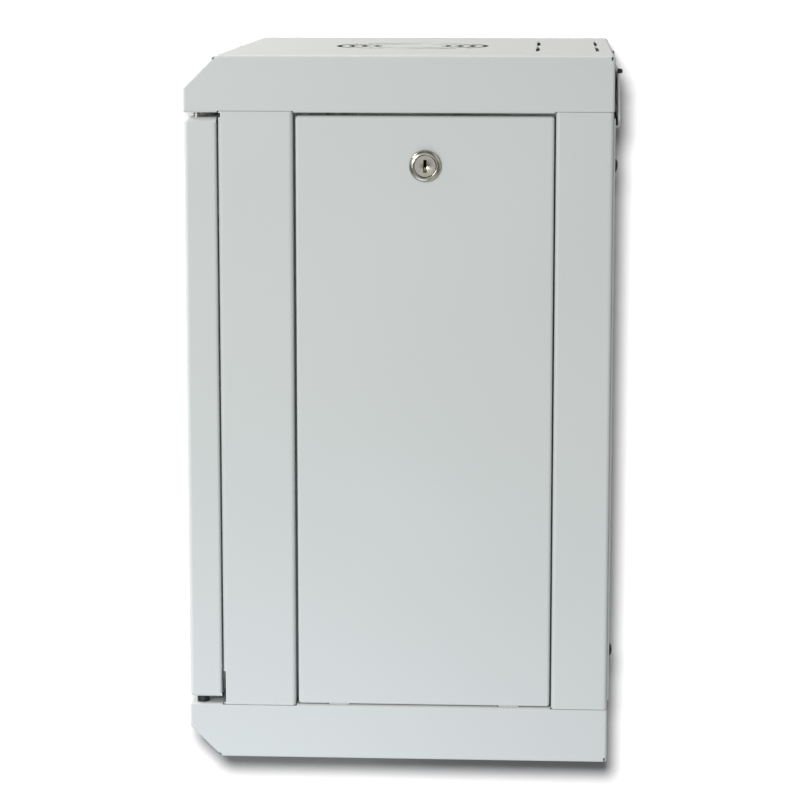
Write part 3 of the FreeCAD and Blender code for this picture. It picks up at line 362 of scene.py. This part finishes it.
def spun_shape(outline, steps=96):
    """Closed round shape about Z, from a list of radius and height in millimetres."""
    shape = bmesh.new()
    corners = [shape.verts.new((radius / 1000.0, 0.0, height / 1000.0)) for radius, height in outline]
    lines = [shape.edges.new(pair) for pair in zip(corners, corners[1:])]
    if outline[0][0] > 0.0:
        lines.append(shape.edges.new((corners[-1], corners[0])))
    bmesh.ops.spin(shape, geom=corners + lines, cent=(0.0, 0.0, 0.0), axis=(0.0, 0.0, 1.0),
                   angle=math.tau, steps=steps, use_merge=True)
    bmesh.ops.remove_doubles(shape, verts=shape.verts, dist=1e-7)
    bmesh.ops.recalc_face_normals(shape, faces=shape.faces)
    return shape


def soften(shape, width, least_angle=25.0):
    """Bevels the edges sharper than an angle in degrees, by a width in millimetres."""
    sharp = [edge for edge in shape.edges
             if edge.is_manifold and edge.calc_face_angle(0.0) > math.radians(least_angle)]
    bmesh.ops.bevel(shape, geom=sharp, offset=width / 1000.0, offset_type="OFFSET", segments=2,
                    profile=0.5, affect="EDGES", material=-1, clamp_overlap=True)
    bmesh.ops.recalc_face_normals(shape, faces=shape.faces)


def finished_piece(name, shape, place, material):
    """Object at the origin from a shape moved to its place, with smooth curves and crisp edges."""
    bmesh.ops.transform(shape, verts=shape.verts, matrix=place)
    if place.determinant() < 0.0:
        bmesh.ops.reverse_faces(shape, faces=shape.faces)
    mesh = bpy.data.meshes.new(name)
    shape.to_mesh(mesh)
    shape.free()
    mesh.polygons.foreach_set("use_smooth", [True] * len(mesh.polygons))
    mesh.set_sharp_from_angle(angle=math.radians(30.0))
    mesh.materials.append(material)
    piece = bpy.data.objects.new(name, mesh)
    bpy.context.scene.collection.objects.link(piece)
    return piece


def cut_out(piece, tool_shape):
    """Cuts a tool's shape out of a piece and leaves a plain mesh."""
    tool_mesh = bpy.data.meshes.new("cutting_tool")
    tool_shape.to_mesh(tool_mesh)
    tool_shape.free()
    tool = bpy.data.objects.new("cutting_tool", tool_mesh)
    bpy.context.scene.collection.objects.link(tool)
    cut = piece.modifiers.new("cut", "BOOLEAN")
    cut.operation = "DIFFERENCE"
    cut.object = tool
    cut.solver = "EXACT"
    result = bpy.data.meshes.new_from_object(piece.evaluated_get(bpy.context.evaluated_depsgraph_get()))
    result.name = piece.name
    piece.modifiers.clear()
    piece.data = result
    bpy.data.objects.remove(tool)


def box_shape(size, middle):
    """Box from its size and middle in millimetres."""
    shape = bmesh.new()
    bmesh.ops.create_cube(shape, size=1.0)
    scale = Matrix.Diagonal([length / 1000.0 for length in size]).to_4x4()
    move = Matrix.Translation([along / 1000.0 for along in middle])
    bmesh.ops.transform(shape, verts=shape.verts, matrix=move @ scale)
    return shape


# Chrome plate, worn by hands and keys: warm grey reflections, blurred by haze in patches of 1.5 mm.
chrome, shader = mottled("chrome_plate_on_zinc_casting", grain=1.5, detail=5.0, dark="9f9d95",
                         light="bcbab2", smooth=0.17, rough=0.32, coarseness=0.7, spread=(0.35, 0.75))
shader.inputs["Metallic"].default_value = 1.0

# The walls of the keyway: bare casting, painted nearly black as painted shade inside the narrow slot.
keyway_shade, shader = mottled("painted_shade_in_keyway", grain=0.8, detail=3.0, dark="121210",
                               light="2a2924", smooth=0.45, rough=0.65)
shader.inputs["Metallic"].default_value = 0.6

# Drawn brass strip, tarnished to olive.
brass, shader = mottled("tumbler_brass", grain=0.7, detail=3.0, dark="7a7546", light="a39c60",
                        smooth=0.25, rough=0.40)
shader.inputs["Metallic"].default_value = 1.0

# Sizes of the lock in millimetres, from the sheet's outer face outwards. The rim's worn edge and
# the dish in the plug's face are given by how far they step in, and by radius, each with a height.
rim_radius = 10.8
rim_height = 3.0
rim_edge = ((0.0, 0.9), (0.25, 1.6), (0.75, 2.2), (1.4, 2.65), (2.2, 2.92), (2.8, rim_height))
rim_softness = 0.18
bore_chamfer = 0.3
barrel_radius = 9.2
barrel_flat = 8.0
barrel_length = 16.0
plug_radius = 7.5
plug_face = 2.6
plug_dish = ((0.0, plug_face - 0.6), (1.2, plug_face - 0.5), (2.7, plug_face))
plug_chamfer = 0.4
plug_shoulder = 3.92
core_radius = 6.0
stem_radius = 4.0
running_gap = 0.08
plug_end = 16.3
cam_plate = 2.0
screw_hole_radius = 2.0
screw_hole_depth = 5.0
keyway_size = (2.3, 8.5, 9.0)
cutter_proud = 0.5
wall_margin = 0.05
tumbler_height = 3.0
tumbler_thickness = 1.0
tumbler_pitch = 1.6
tumbler_softness = 0.12
tumblers_below_middle = 2.5
tumblers_below_face = 0.6


def lock_housing(name, place):
    """Rim, bore and flattened barrel of one lock."""
    bore = plug_radius + running_gap
    core_bore = core_radius + running_gap
    bore_floor = -plug_shoulder - running_gap
    rim = [(rim_radius - inwards, height) for inwards, height in rim_edge]
    shape = spun_shape([(rim_radius, 0.0), *rim, (bore + bore_chamfer, rim_height),
                        (bore, rim_height - bore_chamfer), (bore, bore_floor), (core_bore, bore_floor),
                        (core_bore, -barrel_length), (barrel_radius, -barrel_length), (barrel_radius, 0.0)])
    soften(shape, rim_softness, least_angle=35.0)
    for corner in shape.verts:
        if corner.co.z < 0.0 and corner.co.xy.length > (bore + bore_chamfer) / 1000.0:
            corner.co.x = max(-barrel_flat / 1000.0, min(barrel_flat / 1000.0, corner.co.x))
    return finished_piece(name, shape, place, chrome)


def lock_plug(name, place, stem):
    """Plug of one lock, with the keyway cut into its dished face and the stem behind."""
    stem_end = -plug_end - stem - cam_plate
    hole_end = stem_end + screw_hole_depth
    shape = spun_shape([*plug_dish, (plug_radius - plug_chamfer, plug_face),
                        (plug_radius, plug_face - plug_chamfer), (plug_radius, -plug_shoulder),
                        (core_radius, -plug_shoulder), (core_radius, -plug_end), (stem_radius, -plug_end),
                        (stem_radius, stem_end), (screw_hole_radius, stem_end),
                        (screw_hole_radius, hole_end), (0.0, hole_end)])
    plug = finished_piece(name, shape, Matrix(), chrome)
    width, height, depth = keyway_size
    cut_out(plug, box_shape(keyway_size, (0.0, 0.0, plug_face + cutter_proud - depth / 2.0)))
    plug.data.materials.append(keyway_shade)
    for face in plug.data.polygons:
        x, y, z = face.center * 1000.0
        is_wall = abs(face.normal.z) < 0.1 or z < 0.0
        if abs(x) < width / 2.0 + wall_margin and abs(y) < height / 2.0 + wall_margin and is_wall:
            face.material_index = 1
    plug.data.transform(place)
    if place.determinant() < 0.0:
        plug.data.flip_normals()
    return plug


def lock_tumblers(name, place):
    """Edges of the brass tumblers that show in the lower half of the keyway."""
    shape = bmesh.new()
    for number in (1, 2, 3):
        middle = (0.0, -tumblers_below_middle, plug_face - tumblers_below_face - number * tumbler_pitch)
        tumbler = box_shape((keyway_size[0], tumbler_height, tumbler_thickness), middle)
        made = bpy.data.meshes.new("tumbler")
        tumbler.to_mesh(made)
        tumbler.free()
        shape.from_mesh(made)
        bpy.data.meshes.remove(made)
    soften(shape, tumbler_softness)
    return finished_piece(name, shape, place, brass)


def frame_of(origin, right, upward):
    """Place of a round piece from its middle on the sheet and its right and upward directions."""
    outward = right.cross(upward)
    return Matrix.LocRotScale(origin, Matrix((right, upward, outward)).transposed(), None)


# Each lock sits where its plug turns. The door's stem is longer, to reach behind the post.
turning_place = {joint["child"]: Vector(joint["pos_m"]) for joint in frame["joints"] if "pos_m" in joint}
upright = Vector((0.0, 0.0, 1.0))
panel_stem = 1.0
door_stem = 10.45

for kind, side, carrier, right, stem in (
    ("side", "_right", "right_panel", Vector((0.0, 1.0, 0.0)), panel_stem),
    ("side", "_left", "left_panel", Vector((0.0, -1.0, 0.0)), panel_stem),
    ("door", "", "door", Vector((1.0, 0.0, 0.0)), door_stem),
):
    place = frame_of(turning_place[carrier + "_lock"], right, upright)
    housing = lock_housing(kind + "_lock_rim" + side, place)
    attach(housing, carrier)
    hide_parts(kind + "_lock_housing" + side)
    plug = lock_plug(kind + "_lock_core" + side, place, stem)
    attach(plug, carrier + "_lock")
    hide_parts(kind + "_lock_plug" + side)
    tumblers = lock_tumblers(kind + "_lock_tumblers" + side, place)
    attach(tumblers, carrier + "_lock")


# Door corners. The flanges of the door's pan meet round its corners, where their rear ends are closed
# with a short weld, ground flush and coated with the rest.

def box_of(name):
    """Least and greatest corner of a CAD node."""
    corners = [nodes[name].matrix_world @ Vector(corner) for corner in nodes[name].bound_box]
    return [Vector(map(choose, zip(*corners))) for choose in (min, max)]


# Sizes of the weld in metres.
low, high = box_of("door_frame")
corner_radius = 0.0032
sheet = 0.0012
weld_depth = 0.0024
inner_radius = corner_radius - sheet
front_end = high.y - weld_depth

welds = bmesh.new()
for side in (-1.0, 1.0):
    for middle_up, up in ((low.z + corner_radius, -1.0), (high.z - corner_radius, 1.0)):
        centre = Vector((side * (high.x - corner_radius), 0.0, middle_up))
        section = ((corner_radius, front_end), (corner_radius, high.y), (inner_radius, high.y),
                   (inner_radius, front_end))
        corners = [welds.verts.new(centre + Vector((side * out, back, 0.0))) for out, back in section]
        bmesh.ops.spin(welds, geom=[welds.faces.new(corners)], cent=centre, axis=(0.0, 1.0, 0.0),
                       angle=-side * up * math.pi / 2.0, steps=8)
bmesh.ops.remove_doubles(welds, verts=welds.verts, dist=1e-7)
bmesh.ops.recalc_face_normals(welds, faces=welds.faces)
door_welds = finished_piece("door_corner_welds", welds, Matrix(), powder_coat)
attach(door_welds, "door")


# Rear panel screws. Four M4 pan heads with a cross recess, screwed through the rear panel into the
# posts. Steel, black oxide finish with a film of oil.

# Black oxide: a blue-black satin, a little patchy where the oil has dried.
black_oxide, shader = mottled("black_oxide_steel", grain=2.0, detail=3.0, dark="1d1e20",
                              light="35363a", smooth=0.30, rough=0.45)
shader.inputs["Metallic"].default_value = 1.0

# Sizes of a screw in millimetres, from the panel's face outwards, its dome by radius and height.
head_radius = 4.5
head_height = 1.8
head_dome = ((0.0, head_height), (1.9, 1.74), (3.15, 1.44), (4.05, 0.9), (head_radius, 0.0))
shank_radius = 2.0
shank_length = 4.4
recess_length = 4.6
recess_width = 0.8
recess_cutter = 1.6
recess_middle = 1.5

# Places of the screws in metres, with the outer faces of their heads from the CAD node.
high = box_of("rear_panel_screws")[1]
across_middle = high.x - head_radius / 1000.0
panel_face = high.y - head_height / 1000.0
screw_heights = (0.0779, 0.4114)

screw_heads = bmesh.new()
for across in (-across_middle, across_middle):
    for up in screw_heights:
        head = spun_shape([*head_dome, (shank_radius, 0.0), (shank_radius, -shank_length),
                           (0.0, -shank_length)], steps=48)
        screw = finished_piece("one_screw", head, Matrix(), black_oxide)
        for arm in ((recess_length, recess_width), (recess_width, recess_length)):
            cut_out(screw, box_shape((*arm, recess_cutter), (0.0, 0.0, recess_middle)))
        place = frame_of(Vector((across, panel_face, up)), Vector((-1.0, 0.0, 0.0)), upright)
        chance_turn = Matrix.Rotation(across * 9.0 + up * 5.0, 4, "Z")
        screw.data.transform(place @ chance_turn)
        screw_heads.from_mesh(screw.data)
        bpy.data.objects.remove(screw)
panel_screws = finished_piece("rear_panel_screw_heads", screw_heads, Matrix(), black_oxide)
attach(panel_screws, "cabinet")
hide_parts("rear_panel_screws")


# Rubber and nylon. The wall bracket's buffer, the pane's gasket and the pads that the closed door
# meets are black rubber, glued or clamped. The bush round the lower hinge pin is moulded nylon.

# Rubber: matt, greyed by a dusty bloom in patches of 3 mm.
rubber, shader = mottled("matt_black_rubber", grain=3.0, detail=4.0, dark="151515", light="232323",
                         smooth=0.70, rough=0.90)
shader.inputs["IOR"].default_value = 1.52
tree = rubber.node_tree
bloom = next(node for node in tree.nodes if node.type == "TEX_NOISE")
surface = add(tree, "ShaderNodeBump", {"Height": bloom.outputs["Fac"], "Strength": 0.4,
                                       "Distance": 0.00005})
link(tree, surface.outputs[0], shader, "Normal")

finish(rubber, "bracket_buffer", "glass_gasket", "door_pads")

# Nylon: the mould's fine spark-eroded texture leaves it half matt.
nylon, shader = mottled("moulded_black_nylon", grain=0.7, detail=2.0, dark="121314", light="1d1e20",
                        smooth=0.40, rough=0.55)
shader.inputs["IOR"].default_value = 1.53

finish(nylon, "lower_hinge_bush")


# Door pane. Toughened soda-lime float glass, 4 mm, held by clips against its gasket. It is clear and
# all but flat, with a green cast that comes from its iron.

glass, shader = mottled("toughened_float_glass", grain=90.0, detail=1.0, dark="e6efeb", light="eef4f1",
                        smooth=0.0, rough=0.02)
shader.inputs["IOR"].default_value = 1.52
shader.inputs["Transmission Weight"].default_value = 1.0

finish(glass, "door_glass")
